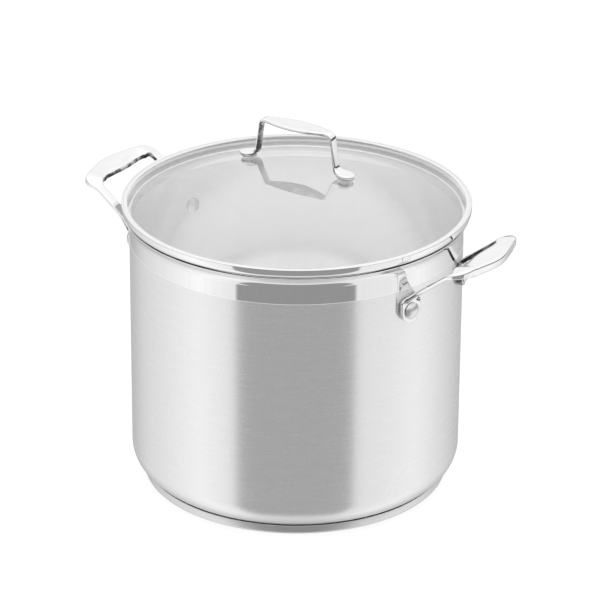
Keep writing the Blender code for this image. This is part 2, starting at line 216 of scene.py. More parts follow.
def hang_tent():
    world = bpy.data.worlds.new("tent")
    bpy.context.scene.world = world
    world.use_nodes = True
    tree = Tree(world.node_tree)
    background = world.node_tree.nodes["Background"]
    ray = tree.node("ShaderNodeTexCoord")
    split = tree.node("ShaderNodeSeparateXYZ", inputs={0: ray})
    x, y, z = (Signal(tree, socket) for socket in split.socket.node.outputs)
    across = x * CAMERA_RIGHT.x + y * CAMERA_RIGHT.y
    ahead = x * TO_CAMERA.x + y * TO_CAMERA.y
    angle = across.maths("ARCTAN2", ahead) * (180 / pi)
    stops = [((place + 180) / 360, grey / 2) for place, grey in TENT]
    settings = {"stops": stops}
    round_tent = tree.node("ShaderNodeValToRGB", settings, {0: angle / 360 + 0.5}) * 2
    walls = z.rise(-0.1, 0.2)
    ceiling = z.rise(0.4, 0.8)
    roof = LOW_SKY * (1 - ceiling) + ceiling * SKY
    tent = round_tent * (1 - walls) + walls * roof
    dip = z.maths("ARCSINE") * (180 / pi)
    across_card = (angle / CARD_HALF_ANGLE).maths("ABSOLUTE")
    down_card = (dip * 2 - (CARD_TOP + CARD_LOW)) / (CARD_TOP - CARD_LOW)
    across_edge, down_edge = across_card**CARD_CORNER, down_card.maths("ABSOLUTE") ** CARD_CORNER
    card = 1 - (across_edge + down_edge).rise(0.75, 1.4)
    tent = tent * (1 - card) + card * CARD_GREY
    table = (1 - dip.rise(-90, CARD_LOW)) * (1 - card)
    tent = tent * (1 - table) + table * TABLE_GREY
    horizon = 1 - dip.maths("ABSOLUTE").rise(HORIZON_HEIGHT * 0.6, HORIZON_HEIGHT * 1.3)
    horizon = horizon * (1 - angle.maths("ABSOLUTE").rise(*HORIZON_FADE))
    tent = tent * (1 - horizon) + horizon * HORIZON_GREY
    inputs = {"W": angle, "Scale": 0.35, "Detail": 4, "Roughness": 0.7}
    seams = tree.node("ShaderNodeTexNoise", {"noise_dimensions": "1D"}, inputs)
    tent = tent * (1 - SEAM_DEPTH + seams * (2 * SEAM_DEPTH))
    seen = tree.node("ShaderNodeLightPath")
    background.inputs["Color"].default_value = (1, 1, 1, 1)
    tree.plug(background.inputs["Strength"], tent * (1 - seen) + seen * SKY)


hang_tent()
bpy.context.scene.view_settings.view_transform = "Standard"
print("tent tones:", len(TENT))

# %% [markdown]
# ## Floor
#
# The floor is white paper that glows a little, so that it melts into the tent behind it. Only a faint
# contact shadow stays under the pot. The paper is left out of mirrors, where the tent's own low tones
# stand for it.

# %% Lay the floor
FLOOR_HALF_SIZE = 12
FLOOR_DROP = 0.2 * MM
PAPER_GREY = 0.3
PAPER_GLOW = 0.78


def lay_floor():
    mesh = bpy.data.meshes.new("floor")
    shape = bmesh.new()
    bmesh.ops.create_grid(shape, x_segments=1, y_segments=1, size=FLOOR_HALF_SIZE)
    shape.to_mesh(mesh)
    shape.free()
    floor = bpy.data.objects.new("floor", mesh)
    floor.location.z = -FLOOR_DROP
    bpy.context.scene.collection.objects.link(floor)
    paper = bpy.data.materials.new("white_paper")
    paper.use_nodes = True
    shader = paper.node_tree.nodes["Principled BSDF"]
    shader.inputs["Base Color"].default_value = (PAPER_GREY, PAPER_GREY, PAPER_GREY, 1)
    shader.inputs["Roughness"].default_value = 1
    shader.inputs["Specular IOR Level"].default_value = 0
    shader.inputs["Emission Color"].default_value = (1, 1, 1, 1)
    shader.inputs["Emission Strength"].default_value = PAPER_GLOW
    mesh.materials.append(paper)
    floor.visible_glossy = False
    return floor


lay_floor()
print("floor ready")

# %% [markdown]
# ## Finishes
#
# A finish is a node tree on one shader. The class below starts one and hands out what most finishes
# need: the place on the piece, a noise, and a direction that runs round the axis.


# %% Start a finish
class Finish(Tree):
    """A material under construction, with its shader's sockets by name."""

    def __init__(self, name, colour, roughness, metallic=1.0, values=None):
        self.material = bpy.data.materials.new(name)
        self.material.use_nodes = True
        super().__init__(self.material.node_tree)
        self.shader = self.material.node_tree.nodes["Principled BSDF"]
        self.set("Base Color", (*colour, 1) if isinstance(colour, tuple) else colour)
        self.set("Roughness", roughness)
        self.set("Metallic", metallic)
        for socket, value in (values or {}).items():
            self.set(socket, value)

    def set(self, socket, value):
        self.plug(self.shader.inputs[socket], value)

    def place(self):
        """Object coordinates, and their three parts."""
        coordinates = self.node("ShaderNodeTexCoord", output="Object")
        split = self.node("ShaderNodeSeparateXYZ", inputs={0: coordinates})
        parts = [Signal(self, socket) for socket in split.socket.node.outputs]
        return coordinates, parts

    def noise(self, vector, scale, detail=2.0, roughness=0.5):
        inputs = {"Vector": vector, "Scale": scale, "Detail": detail, "Roughness": roughness}
        return self.node("ShaderNodeTexNoise", inputs=inputs)

    def round_the_axis(self, along, across):
        """A vector that runs slowly round the Z axis and fast along it, for turned scratches."""
        _, (x, y, z) = self.place()
        radius = (x * x + y * y).maths("SQRT")
        inputs = {0: x / radius * along, 1: y / radius * along, 2: (z + radius) * across}
        return self.node("ShaderNodeCombineXYZ", inputs=inputs)

    def bump(self, height, strength, distance):
        inputs = {"Strength": strength, "Distance": distance, "Height": height}
        self.set("Normal", self.node("ShaderNodeBump", inputs=inputs))

    def grey(self, value, tint=(1.0, 1.0, 1.0)):
        """A colour from one varying number."""
        inputs = {index: value * share for index, share in enumerate(tint)}
        return self.node("ShaderNodeCombineColor", inputs=inputs)


print("a finish can:", ", ".join(name for name in vars(Finish) if not name.startswith("__")))

# %% [markdown]
# ## The steels
#
# Every metal piece is the same stainless steel. What differs is the last tool that touched it: a
# belt leaves long scratches round the wall, a buff leaves a mirror, and the inside is left satin.
# The belt's scratches all run round the pot, so the pattern is a noise that is stretched round the
# axis and very fine along it.


# %% Brush and buff the steel
def brushed_wall():
    """Belt-brushed steel: long fine scratches round the pot, and slow changes of pressure."""
    belt = {"Anisotropic": 0.7, "Anisotropic Rotation": 0.25}
    finish = Finish("brushed_wall", (0.8, 0.8, 0.8), 0.25, 0.86, belt)
    scratches = finish.noise(finish.round_the_axis(14, 1500), 1.0, 4, 0.75)
    passes = finish.noise(finish.round_the_axis(5, 320), 1.0, 2, 0.5)
    finish.set("Base Color", finish.grey(0.76 + scratches * 0.08 + passes * 0.06, (1, 1, 1.005)))
    finish.set("Roughness", 0.20 + scratches * 0.08 + passes * 0.04)
    finish.bump(scratches, 0.08, 0.05 * MM)
    return finish.material


def polished(name, grey=0.84, roughness=0.045):
    """Buffed steel: a mirror with a faint haze that changes from place to place."""
    finish = Finish(name, (grey, grey, grey), roughness)
    coordinates, _ = finish.place()
    haze = finish.noise(coordinates, 45, 3, 0.6)
    finish.set("Roughness", roughness * 0.5 + haze * roughness)
    finish.set("Base Color", finish.grey(grey - 0.03 + haze * 0.06))
    return finish.material


def satin_inside(name, painted_glow):
    """The drawn inside: a soft satin with faint rings, and a painted glow that lights the pot."""
    finish = Finish(name, (0.9, 0.9, 0.9), 0.3, 0.75)
    finish.set("Emission Color", (1, 1, 1, 1))
    finish.set("Emission Strength", painted_glow)
    rings = finish.noise(finish.round_the_axis(4, 700), 1.0, 3, 0.6)
    finish.set("Base Color", finish.grey(0.91 + rings * 0.04))
    finish.set("Roughness", 0.09 + rings * 0.05)
    return finish.material


def cast_skin():
    """Painted shade: dark, finely grained steel, less glossy, on gap sides and undersides."""
    finish = Finish("cast_skin", (0.12, 0.12, 0.12), 0.3)
    coordinates, _ = finish.place()
    grain = finish.noise(coordinates, 300, 3, 0.6)
    patches = finish.noise(coordinates, 110, 2).rise(0.45, 0.65)
    finish.set("Base Color", finish.grey(0.03 + grain * 0.08 + patches * 0.5))
    finish.set("Roughness", 0.15 + grain * 0.2)
    finish.bump(grain, 0.15, 0.1 * MM)
    return finish.material


BRUSHED = brushed_wall()
# Both insides glow: painted light that stands in for the light inside the pot, far stronger on the
# floor.
SATIN = satin_inside("satin_wall", 0.018)
FLOOR = satin_inside("satin_floor", 0.3)
BAND = polished("polished_band")
MIRROR = polished("mirror_steel", 0.86, 0.04)
CAP_STEEL = polished("cap_steel", 0.74, 0.34)
RIVET_STEEL = polished("rivet_steel", 0.84, 0.38)
# A dark steel that paints the shade in the handles' finger gaps and under the lid handle.
PAINTED_SHADE = cast_skin()
print("steels:", BRUSHED.name, SATIN.name, FLOOR.name, BAND.name, MIRROR.name, PAINTED_SHADE.name)

# %% [markdown]
# ## Glass, silicone and aluminium
#
# The glass lets light straight through and mirrors more of it at a slant, by one mix of two shaders.
# It doesn't bend the light, which at this thickness would only shift the view by a hair.


# %% Mix the glass and the rest
def clear_glass():
    """Tempered soda glass: it lets light straight through, and mirrors more of it at a slant."""
    finish = Finish("tempered_glass", (1.0, 1.0, 1.0), 0.0, 1.0)
    slant = finish.node("ShaderNodeLayerWeight", inputs={"Blend": 0.5}, output="Facing")
    behind = finish.node("ShaderNodeNewGeometry", output="Backfacing")
    mirrored = (0.07 + 0.60 * slant**1.6) * (1 - behind)
    coordinates, _ = finish.place()
    wipe = finish.noise(coordinates, 25, 3, 0.6)
    finish.set("Roughness", wipe * 0.03)
    clear = finish.node("ShaderNodeBsdfTransparent", inputs={"Color": (0.985, 0.987, 0.986, 1)})
    steel = Signal(finish, finish.shader.outputs["BSDF"])
    both_ways = finish.node("ShaderNodeMixShader", inputs={0: mirrored, 1: clear, 2: steel})
    finish.plug(finish.tree.nodes["Material Output"].inputs["Surface"], both_ways)
    return finish.material


def silicone():
    """Milky silicone with a low-gloss skin."""
    finish = Finish("silicone", (0.80, 0.80, 0.79), 0.5, 0.0)
    coordinates, _ = finish.place()
    cloud = finish.noise(coordinates, 400, 2)
    finish.set("Base Color", finish.grey(0.74 + cloud * 0.14, (1, 1, 0.985)))
    finish.set("Roughness", 0.42 + cloud * 0.2)
    finish.bump(cloud, 0.1, 0.05 * MM)
    return finish.material


def rolled_aluminium():
    """Plain mill-rolled plate: straight fine lines one way."""
    finish = Finish("rolled_aluminium", (0.75, 0.76, 0.77), 0.4)
    coordinates, _ = finish.place()
    inputs = {"Vector": coordinates, "Scale": (8, 1500, 8)}
    lines = finish.noise(finish.node("ShaderNodeMapping", inputs=inputs), 1.0, 3)
    finish.set("Base Color", finish.grey(0.68 + lines * 0.14, (0.99, 1, 1.01)))
    finish.set("Roughness", 0.32 + lines * 0.18)
    return finish.material


GLASS = clear_glass()
SILICONE = silicone()
ALUMINIUM = rolled_aluminium()
print("finishes:", len(bpy.data.materials))

# %% [markdown]
# ## Turning with Geometry Nodes
#
# The pot, its cap, the lid's rim and the glass are all spun or turned: one outline, swept round one
# axis. A small node tree does just that. It takes the outline as a line of edges, sweeps it along a
# circle, closes the poles and sets the finish, and the number of steps is a named input.

# %% The turning tree
REFERENCE_RADIUS = 1.0
POLE_GAP = 0.001 * MM


def geometry_tree(name, inputs):
    """An empty tree with one geometry going through it and these named inputs."""
    tree = bpy.data.node_groups.new(name, "GeometryNodeTree")
    face = tree.interface
    face.new_socket("Geometry", in_out="INPUT", socket_type="NodeSocketGeometry")
    for label, kind in inputs.items():
        face.new_socket(label, in_out="INPUT", socket_type=kind)
    face.new_socket("Geometry", in_out="OUTPUT", socket_type="NodeSocketGeometry")
    made = Tree(tree)
    source = tree.nodes.new("NodeGroupInput")
    values = [Signal(made, socket) for socket in source.outputs[:-1]]
    return made, values


def close_tree(tree, geometry, finish):
    """Ends a tree with real meshes and a finish."""
    real = tree.node("GeometryNodeRealizeInstances", inputs={0: geometry})
    dressed = tree.node("GeometryNodeSetMaterial", inputs={"Geometry": real, "Material": finish})
    end = tree.tree.nodes.new("NodeGroupOutput")
    tree.plug(end.inputs[0], dressed)
    return tree.tree


def turning_tree():
    kinds = {"Steps": "NodeSocketInt", "Finish": "NodeSocketMaterial"}
    tree, (outline, steps, finish) = geometry_tree("turn an outline", kinds)
    profile = tree.node("GeometryNodeMeshToCurve", inputs={"Mesh": outline})
    inputs = {"Resolution": steps, "Radius": REFERENCE_RADIUS}
    path = tree.node("GeometryNodeCurvePrimitiveCircle", {"mode": "RADIUS"}, inputs)
    path = tree.node("GeometryNodeSetCurveNormal", {"mode": "Z_UP"}, {"Curve": path})
    swept = tree.node("GeometryNodeCurveToMesh", inputs={"Curve": path, "Profile Curve": profile})
    inputs = {"Geometry": swept, "Distance": POLE_GAP}
    closed = tree.node("GeometryNodeMergeByDistance", inputs=inputs)
    return close_tree(tree, closed, finish)


TURN = turning_tree()
print("turning tree:", len(TURN.nodes), "nodes")

# %% [markdown]
# ## From a tree to a piece
#
# A tree runs on an object as a modifier, and its result is kept as a plain mesh. The mesh then has
# its faces turned outwards and is shaded smooth, except where two faces meet at a sharp edge.

# %% Run a tree
SHARP_ANGLE = radians(40)
DOUBLE_GAP = 0.0005 * MM


def run_tree(made, tree, values):
    """Runs a tree on an object, with its inputs by name, and keeps the result as a plain mesh."""
    modifier = made.modifiers.new(tree.name, "NODES")
    modifier.node_group = tree
    for item in tree.interface.items_tree:
        if item.in_out == "INPUT" and item.name in values:
            modifier[item.identifier] = values[item.name]
    graph = bpy.context.evaluated_depsgraph_get()
    mesh = bpy.data.meshes.new_from_object(made.evaluated_get(graph))
    made.modifiers.remove(modifier)
    was, made.data = made.data, mesh
    bpy.data.meshes.remove(was)
    mesh.name = made.name
    return made


def face_out(mesh):
    """Merges doubles, points every face outwards and shades it smooth up to sharp edges."""
    shape = bmesh.new()
    shape.from_mesh(mesh)
    bmesh.ops.remove_doubles(shape, verts=shape.verts, dist=DOUBLE_GAP)
    bmesh.ops.recalc_face_normals(shape, faces=shape.faces)
    shape.to_mesh(mesh)
    shape.free()
    mesh.shade_smooth()
    mesh.set_sharp_from_angle(angle=SHARP_ANGLE)


def linked(name, mesh):
    made = bpy.data.objects.new(name, mesh)
    bpy.context.scene.collection.objects.link(made)
    return made


def turned(name, outline, finish, steps=192, ring=False):
    """A piece turned about Z from an outline of (radius, height) points."""
    mesh = bpy.data.meshes.new(name)
    count = len(outline)
    edges = [(i, i + 1) for i in range(count - 1)] + ([(count - 1, 0)] if ring else [])
    points = [(radius - REFERENCE_RADIUS, -height, 0) for radius, height in outline]
    mesh.from_pydata(points, edges, [])
    made = run_tree(linked(name, mesh), TURN, {"Steps": steps, "Finish": finish})
    face_out(made.data)
    return made


def arc(centre, radius, start, end, count):
    """Points of an arc, angles in degrees from the outward axis."""
    angles = [radians(start + (end - start) * i / count) for i in range(count + 1)]
    return [(centre[0] + radius * cos(a), centre[1] + radius * sin(a)) for a in angles]


print("edges sharper than", round(SHARP_ANGLE * 180 / pi), "degrees stay sharp")

# %% [markdown]
# ## The pot
#
# The pot is drawn from one disc of steel. Its lip is rolled outwards into a pouring edge, and below
# the lip a band is buffed to a mirror, a hair's breadth deeper than the brushed wall, so that a thin
# line of light marks where the belt stopped. The inside corner is a wide fillet, easy to clean.

# %% Turn the pot
WALL = 1.0 * MM
LIP_FLARE = 4.6 * MM
LIP_RISE = 8.5 * MM
CORNER_RADIUS = 21 * MM
BAND_LOW = 200.6 * MM
BAND_DEPTH = 0.16 * MM
BAND_STEP = 0.15 * MM
WALL_LOOPS = [height * MM for height in (60, 110, 160)]
LIP_NOSE_SHARE = 0.43

pot_low, pot_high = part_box("pot_shell")
pot_bottom = pot_low.z
LIP_RADIUS = pot_high.x
OUTER_RADIUS = LIP_RADIUS - LIP_FLARE
INNER_RADIUS = OUTER_RADIUS - WALL
POT_TOP = pot_high.z
FLARE_ANGLE = 2 * atan2(LIP_FLARE, LIP_RISE)
FLARE_RADIUS = LIP_RISE / sin(FLARE_ANGLE)


def flare(inset, count):
    """The lip's roll from the straight wall outwards, for a surface this far inside the outer one."""
    sweep = FLARE_ANGLE - WALL / 2 / FLARE_RADIUS
    base = POT_TOP - LIP_RISE - WALL * LIP_NOSE_SHARE
    roll = FLARE_RADIUS + inset
    axis = OUTER_RADIUS + FLARE_RADIUS
    angles = [sweep * i / count for i in range(count + 1)]
    return [(axis - roll * cos(angle), base + roll * sin(angle)) for angle in angles]


def nose(outer, inner, heading):
    """The rounded tip between the two ends of a sheet that runs out along heading."""
    tip = (Vector(outer) + Vector(inner)) / 2
    half = Vector(outer) - tip
    turns = [pi * i / 6 for i in range(1, 6)]
    return [tuple(tip + half * cos(turn) + heading * (half.length * sin(turn))) for turn in turns]


def pot_body():
    corner = (OUTER_RADIUS - CORNER_RADIUS, pot_bottom + CORNER_RADIUS)
    outline = [(0, pot_bottom)] + arc(corner, CORNER_RADIUS, -90, 0, 24)
    outline += [(OUTER_RADIUS, height) for height in WALL_LOOPS]
    outer = flare(0, 14)
    band = OUTER_RADIUS - BAND_DEPTH
    step = BAND_LOW + BAND_STEP
    outline += [(OUTER_RADIUS, BAND_LOW - BAND_STEP), (OUTER_RADIUS, BAND_LOW)]
    outline += [(band, step), (band, step + BAND_STEP)]
    outline += [(band, outer[0][1] - 3 * BAND_STEP), (band, outer[0][1] - 2 * BAND_STEP)] + outer
    inner = flare(WALL, 14)[::-1]
    outline += nose(outer[-1], inner[0], Vector((sin(FLARE_ANGLE), cos(FLARE_ANGLE))))
    outline += inner
    outline += [(INNER_RADIUS, height) for height in WALL_LOOPS[::-1]]
    outline += arc(corner, CORNER_RADIUS - WALL, 0, -90, 24) + [(0, pot_bottom + WALL)]
    made = turned("pot_body", outline, BRUSHED, 256)
    # The inner wall and the inner floor take the two glowing satins: their glow is painted light.
    for finish in (BAND, SATIN, FLOOR):
        made.data.materials.append(finish)
    for face in made.data.polygons:
        radius = Vector(face.center[:2]).length
        inside = radius < OUTER_RADIUS - WALL / 2 and face.center.z > pot_bottom + WALL / 2
        if inside and face.normal.z > -0.2:
            corner_reach = Vector((radius - corner[0], face.center.z - corner[1]))
            in_corner = corner_reach.x > 0 and corner_reach.y < 0
            if not in_corner or corner_reach.length < CORNER_RADIUS - WALL / 2:
                face.material_index = 2 if radius > corner[0] else 3
        if face.center.z > BAND_LOW and face.material_index == 0:
            face.material_index = 1
    return made


pot = pot_body()
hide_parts("pot_shell")
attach(pot, "pot")
print("pot:", len(pot.data.polygons), "faces,", [round(v * 1000, 1) for v in pot.dimensions])

# %% [markdown]
# ## The base
#
# A pressed cap of steel holds an aluminium disc to the bottom, so that the pot heats evenly. Only
# the cap's rolled corner and the seam above it show. The disc stays the packed solid, and gets the
# finish of rolled plate.

# %% Press the cap
CAP_SHEET = 0.8 * MM
CAP_EDGE_RADIUS = 2.5 * MM
cap_low, cap_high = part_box("base_cap")


def cap():
    reach = cap_high.x
    top = cap_high.z
    corner = (reach - CAP_EDGE_RADIUS, cap_low.z + CAP_EDGE_RADIUS)
    rim = CAP_SHEET / 2
    outline = [(0, cap_low.z)] + arc(corner, CAP_EDGE_RADIUS, -90, 0, 10)
    outline += arc((reach - rim, top - rim), rim, 0, 180, 8)
    outline += arc(corner, CAP_EDGE_RADIUS - CAP_SHEET, 0, -90, 8) + [(0, cap_low.z + CAP_SHEET)]
    return turned("base_cap_pressed", outline, CAP_STEEL, 256)


base = cap()
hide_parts("base_cap")
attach(base, "pot")
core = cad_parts["base_core"]
core.data.materials.clear()
core.data.materials.append(ALUMINIUM)
print("base cap:", [round(v * 1000, 1) for v in base.dimensions])

# %% [markdown]
# ## The side handles
#
# Each handle is one casting: a round tongue on the wall at each end, an arm that rises from it, and a
# wide level grip, bowed outwards. Its section changes all the way, from a thin plate to a wedge that
# is deeper on its outer side, so it is lofted through rings that follow one bent path. These are its
# sizes, and the section that every ring is made of.

# %% Measure the handle
FOOT_ANGLE = radians(17.75)
FOOT_RADIUS = 9.6 * MM
FOOT_THICKNESS = 4 * MM
BEND_ABOVE_RIVET = 10.2 * MM
BEND_TRIM = 3.2 * MM
ARM_ROOT_HALF_WIDTH = 7.3 * MM
ARM_HALF_WIDTH = 4.7 * MM
ARM_THICKNESS = 3.6 * MM
GRIP_HALF_LENGTH = 40 * MM
GRIP_BOW = 4.5 * MM
GRIP_TRIM = 11 * MM
GRIP_END_HALF_WIDTH = 7.8 * MM
GRIP_KNUCKLE = 0.6 * MM
GRIP_MIDDLE_HALF_WIDTH = 10.8 * MM
GRIP_THICKNESS = 9.6 * MM
GRIP_INNER_SHARE = 0.42
GRIP_INNER_DROP = 0.7
RIVET_HEIGHT = 183.6 * MM
SEAT_GAP = 0.3 * MM
SECTION_POINTS = 40
# Section points that get painted shade: the side towards the finger gap, and the underside.
SHADED_GAP_SIDE = range(16, 24)
SHADED_UNDER_SIDE = range(20, 39)
TIP_ANGLE = -86
FOOT_SQUARENESS, ARM_SQUARENESS, GRIP_SQUARENESS = 6, 5, 4

handle_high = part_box("right_side_handle")[1]
GRIP_REACH = handle_high.x - GRIP_MIDDLE_HALF_WIDTH
GRIP_HEIGHT = handle_high.z - GRIP_THICKNESS / 2
FOOT_MIDDLE = OUTER_RADIUS + SEAT_GAP + FOOT_THICKNESS / 2
GRIP_CORNER = Vector((GRIP_REACH - GRIP_BOW, GRIP_HALF_LENGTH, GRIP_HEIGHT))


def mix(a, b, t):
    return a + (b - a) * t


def section(centre, across, through, half_width, half_thickness, power, wedge=0.0):
    """A rounded section about centre. A full wedge is thin and low on its inner side."""
    thin, low = mix(1, GRIP_INNER_SHARE, wedge), mix(0, GRIP_INNER_DROP, wedge)
    points = []
    for i in range(SECTION_POINTS):
        angle = 2 * pi * (i + 0.5) / SECTION_POINTS
        u, v = cos(angle), sin(angle)
        u = abs(u) ** (2 / power) * (1 if u > 0 else -1)
        v = abs(v) ** (2 / power) * (1 if v > 0 else -1)
        v = (v + 1) * mix(thin, 1, (u + 1) / 2) - 1 + low * (1 - u) / 2
        points.append(centre + across * (half_width * u) + through * (half_thickness * v))
    return points


def rounded_corner(before, corner, after, trim, count):
    """Points and directions of a smooth turn at corner, trim long on each side."""
    start = corner + (before - corner).normalized() * trim
    end = corner + (after - corner).normalized() * trim
    turn = []
    for i in range(count + 1):
        t = i / count
        point = start * (1 - t) ** 2 + corner * (2 * t * (1 - t)) + end * t**2
        heading = (corner - start) * (1 - t) + (end - corner) * t
        turn.append((point, heading.normalized()))
    return turn


print("grip centre:", [round(value * 1000, 1) for value in GRIP_CORNER])

# %% [markdown]
# ## The handle's path
#
# The path starts at the round end of a tongue, goes straight up the wall, bends into the arm and
# turns the corner into the grip. The arm meets the grip flush with its top, so all the extra depth of
# the grip hangs below the arm.


# %% Lay out the rings
def side_handle_rings():
    """Sections from the round end of one foot, up the wall, out along the arm and to mid-grip."""
    face = Vector((cos(FOOT_ANGLE), sin(FOOT_ANGLE), 0))
    rings = []

    def add(point, heading, plan, half_width, thickness, power, wedge=0.0):
        across = Vector((-plan.y, plan.x, 0)).normalized()
        through = across.cross(heading).normalized()
        rings.append(section(point, across, through, half_width, thickness / 2, power, wedge))

    rivet = face * FOOT_MIDDLE + Vector((0, 0, RIVET_HEIGHT))
    up = Vector((0, 0, 1))
    for i in range(13):
        turn = radians(mix(TIP_ANGLE, 0, i / 12))
        point = rivet + up * (FOOT_RADIUS * sin(turn))
        add(point, up, face, FOOT_RADIUS * cos(turn), FOOT_THICKNESS, FOOT_SQUARENESS)
    bend = rivet + up * BEND_ABOVE_RIVET
    plan = GRIP_CORNER - bend
    plan.z = 0
    plan.normalize()
    steps = 10
    corner = rounded_corner(rivet, bend, GRIP_CORNER, BEND_TRIM, steps)
    for i, (point, heading) in enumerate(corner):
        t = i / steps
        half_width = mix(FOOT_RADIUS, ARM_ROOT_HALF_WIDTH, t)
        thickness = mix(FOOT_THICKNESS, ARM_THICKNESS, t)
        add(point, heading, mix(face, plan, t), half_width, thickness, ARM_SQUARENESS)
    arm_start = bend + (GRIP_CORNER - bend).normalized() * BEND_TRIM
    middle = Vector((GRIP_CORNER.x + GRIP_BOW, 0, GRIP_CORNER.z))
    flush = up * ((GRIP_THICKNESS - ARM_THICKNESS) / 2)
    top_corner = GRIP_CORNER + flush
    arm_end = top_corner + (bend - top_corner).normalized() * GRIP_TRIM
    heading = (top_corner - bend).normalized()
    for i in range(1, 10):
        t = i / 10
        ease = sin(min(1, 3 * t) * pi / 2)
        half_width = mix(ARM_ROOT_HALF_WIDTH, ARM_HALF_WIDTH, ease)
        point = mix(arm_start, arm_end, t)
        add(point, heading, plan, half_width, ARM_THICKNESS, ARM_SQUARENESS)
    steps = 16
    corner = rounded_corner(bend, top_corner, middle + flush, GRIP_TRIM, steps)
    for i, (point, heading) in enumerate(corner):
        t = i / steps
        level = Vector((heading.x, heading.y, 0)).normalized()
        knuckle = GRIP_KNUCKLE / 2 * sin(t * pi) ** 1.5
        half_width = mix(ARM_HALF_WIDTH, GRIP_END_HALF_WIDTH, sin(t * pi / 2)) + knuckle
        thickness = mix(ARM_THICKNESS, GRIP_THICKNESS, t)
        drop = up * ((thickness - ARM_THICKNESS) / 2)
        point = point + Vector((-level.y, level.x, 0)) * knuckle - drop
        add(point, heading, level, half_width, thickness, GRIP_SQUARENESS, t)
    grip_start = GRIP_CORNER + (middle - GRIP_CORNER).normalized() * GRIP_TRIM
    back = Vector((0, -1, 0))
    for i in range(1, 15):
        t = i / 14
        ease = 1 - cos(t * pi)
        half_width = mix(GRIP_END_HALF_WIDTH, GRIP_MIDDLE_HALF_WIDTH, ease / 2)
        point = mix(grip_start, middle, t)
        point.x = middle.x - GRIP_BOW * (point.y / GRIP_HALF_LENGTH) ** 2
        add(point, back, back, half_width, GRIP_THICKNESS, GRIP_SQUARENESS, 1)
    return rings


print("rings in half a handle:", len(side_handle_rings()))

# %% [markdown]
# ## Lofting
#
# A loft joins each ring to the next. Only half of a handle is laid out: the other half is its mirror
# image. The strip facing the finger gap takes a dark steel as painted shade; the rest is buffed.


# %% Loft the handles
def lofted(name, half, mirror_axis, finishes, shaded_strips=range(0)):
    """Joins rings into half a piece, mirrors it and closes it. The shaded strips take finish 2."""
    flip = Vector((-1, 1, 1)) if mirror_axis == "X" else Vector((1, -1, 1))
    whole = half + [[point * flip for point in ring] for ring in half[-2::-1]]
    shape = bmesh.new()
    rings = [[shape.verts.new(point) for point in ring] for ring in whole]
    for low, high in zip(rings, rings[1:]):
        for i in range(len(low)):
            j = (i + 1) % len(low)
            # Faces in the shaded strips take the dark steel: painted shade.
            shape.faces.new((low[i], low[j], high[j], high[i])).material_index = int(i in shaded_strips)
    shape.faces.new(rings[0])
    shape.faces.new(rings[-1])
    mesh = bpy.data.meshes.new(name)
    shape.to_mesh(mesh)
    shape.free()
    for finish in finishes:
        mesh.materials.append(finish)
    face_out(mesh)
    return linked(name, mesh)


def side_handle(side, turn):
    rings = side_handle_rings()
    # The side that faces the pot takes the dark steel: painted shade in the finger gap.
    made = lofted(f"{side}_handle_casting", rings, "Y", (MIRROR, PAINTED_SHADE), SHADED_GAP_SIDE)
    made.data.transform(Matrix.Rotation(turn, 4, "Z"))
    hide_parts(f"{side}_side_handle")
    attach(made, "pot")
    return made


handles = [side_handle("right", 0), side_handle("left", pi)]
print("side handles:", [len(made.data.polygons) for made in handles], "faces")

# %% [markdown]
# ## The rivets
#
# Four rivets hold the handles. One is turned, and a node tree sets it on the wall at each tongue:
# the number of rivets, their height and their angle are the tree's inputs, so a wider handle needs
# one changed number.

# %% Set the rivets
RIVET_HEAD_RADIUS = 6.8 * MM
RIVET_HEAD_HEIGHT = 3.2 * MM
RIVET_HEAD_RIM = 0.5 * MM
RIVET_INNER_HEAD_RADIUS = 6 * MM
RIVET_INNER_HEAD_HEIGHT = 1.6 * MM
RIVET_SHANK_RADIUS = 2.6 * MM


def dome(radius, seat, height, rim, count):
    """The outline of a low domed head, from its middle to its edge, upwards from seat."""
    rise = height - rim
    sphere = (radius**2 + rise**2) / (2 * rise)
    spread = asin(radius / sphere)
    centre = seat + height - sphere
    angles = [spread * i / count for i in range(count + 1)]
    return [(sphere * sin(angle), centre + sphere * cos(angle)) for angle in angles]


def rivet_outline():
    seat = OUTER_RADIUS + SEAT_GAP + FOOT_THICKNESS + SEAT_GAP
    inside = sqrt((INNER_RADIUS - SEAT_GAP) ** 2 - RIVET_INNER_HEAD_RADIUS**2)
    outline = dome(RIVET_HEAD_RADIUS, seat, RIVET_HEAD_HEIGHT, RIVET_HEAD_RIM, 14)
    outline += [(RIVET_HEAD_RADIUS, seat), (RIVET_SHANK_RADIUS, seat), (RIVET_SHANK_RADIUS, inside)]
    head = dome(RIVET_INNER_HEAD_RADIUS, 0, RIVET_INNER_HEAD_HEIGHT, RIVET_INNER_HEAD_HEIGHT / 3, 12)
    outline.append((RIVET_INNER_HEAD_RADIUS, inside))
    outline += [(radius, inside - height) for radius, height in head[::-1]]
    return outline


def rivet_tree():
    kinds = {"Count": "NodeSocketInt", "Height": "NodeSocketFloat", "Angle": "NodeSocketFloat"}
    kinds["Finish"] = "NodeSocketMaterial"
    tree, (one, count, height, angle, finish) = geometry_tree("set the rivets", kinds)
    row = tree.node("GeometryNodeMeshLine", {"mode": "OFFSET"}, {"Count": count})
    index = tree.node("GeometryNodeInputIndex")
    side = (index / 2).maths("FLOOR")
    turn = side * pi + angle * ((index - side * 2) * 2 - 1)
    place = tree.node("ShaderNodeCombineXYZ", inputs={2: height})
    points = tree.node("GeometryNodeSetPosition", inputs={"Geometry": row, "Position": place})
    aim = tree.node("ShaderNodeCombineXYZ", inputs={1: pi / 2, 2: turn})
    inputs = {"Points": points, "Instance": one, "Rotation": aim}
    copies = tree.node("GeometryNodeInstanceOnPoints", inputs=inputs)
    return close_tree(tree, copies, finish)


